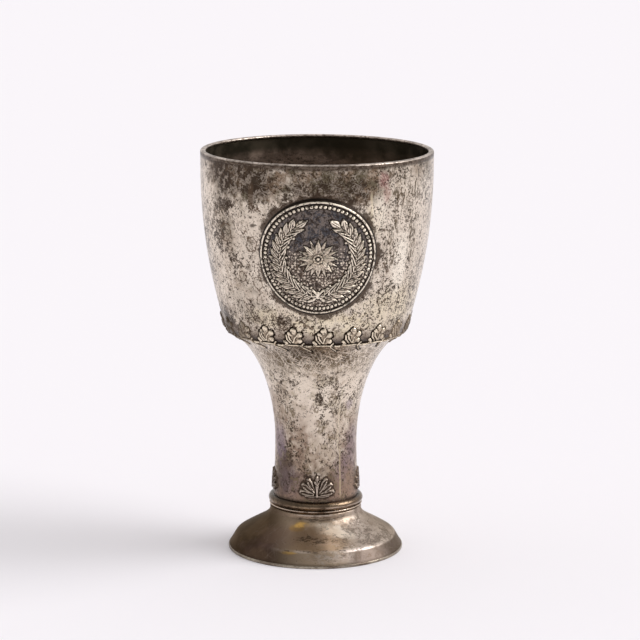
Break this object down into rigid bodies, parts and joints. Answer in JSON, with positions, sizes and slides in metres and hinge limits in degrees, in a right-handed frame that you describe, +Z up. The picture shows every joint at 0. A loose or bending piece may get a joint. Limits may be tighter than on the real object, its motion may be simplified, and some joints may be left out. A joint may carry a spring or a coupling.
{
  "type": "goblet",
  "caption": "Silver prize goblet with a deep cup, a hollow trumpet stem and a spread foot, dressed with a leaf border, a struck medal and palmettes.",
  "frame": {"origin": "middle of the circle that the goblet stands on, on the table", "axes": "+Z up along the goblet's axis; -Y towards the side that carries the medal; +X to the right of the medal as one faces it"},
  "size_m": [0.0854, 0.0869, 0.15],
  "materials": {
    "cup_silver": "worn silver sheet with dark mottled tarnish",
    "stem_silver": "worn silver sheet, browner and more tarnished than the cup",
    "foot_silver": "smooth silver sheet under an even brown tarnish",
    "wire_silver": "drawn wire, bright where it is rubbed",
    "struck_silver": "struck relief, bright on top and dark in its hollows"
  },
  "bodies": {
    "root": {"foot_wire": "wire_silver", "foot": "foot_silver", "stem": "stem_silver", "stem_collar": "foot_silver", "bowl": "cup_silver", "mouth_wire": "wire_silver", "leaf_border": "struck_silver", "medal": "struck_silver", "palmette_front": "struck_silver", "palmette_right": "struck_silver", "palmette_back": "struck_silver", "palmette_left": "struck_silver"}
  },
  "joints": []
}
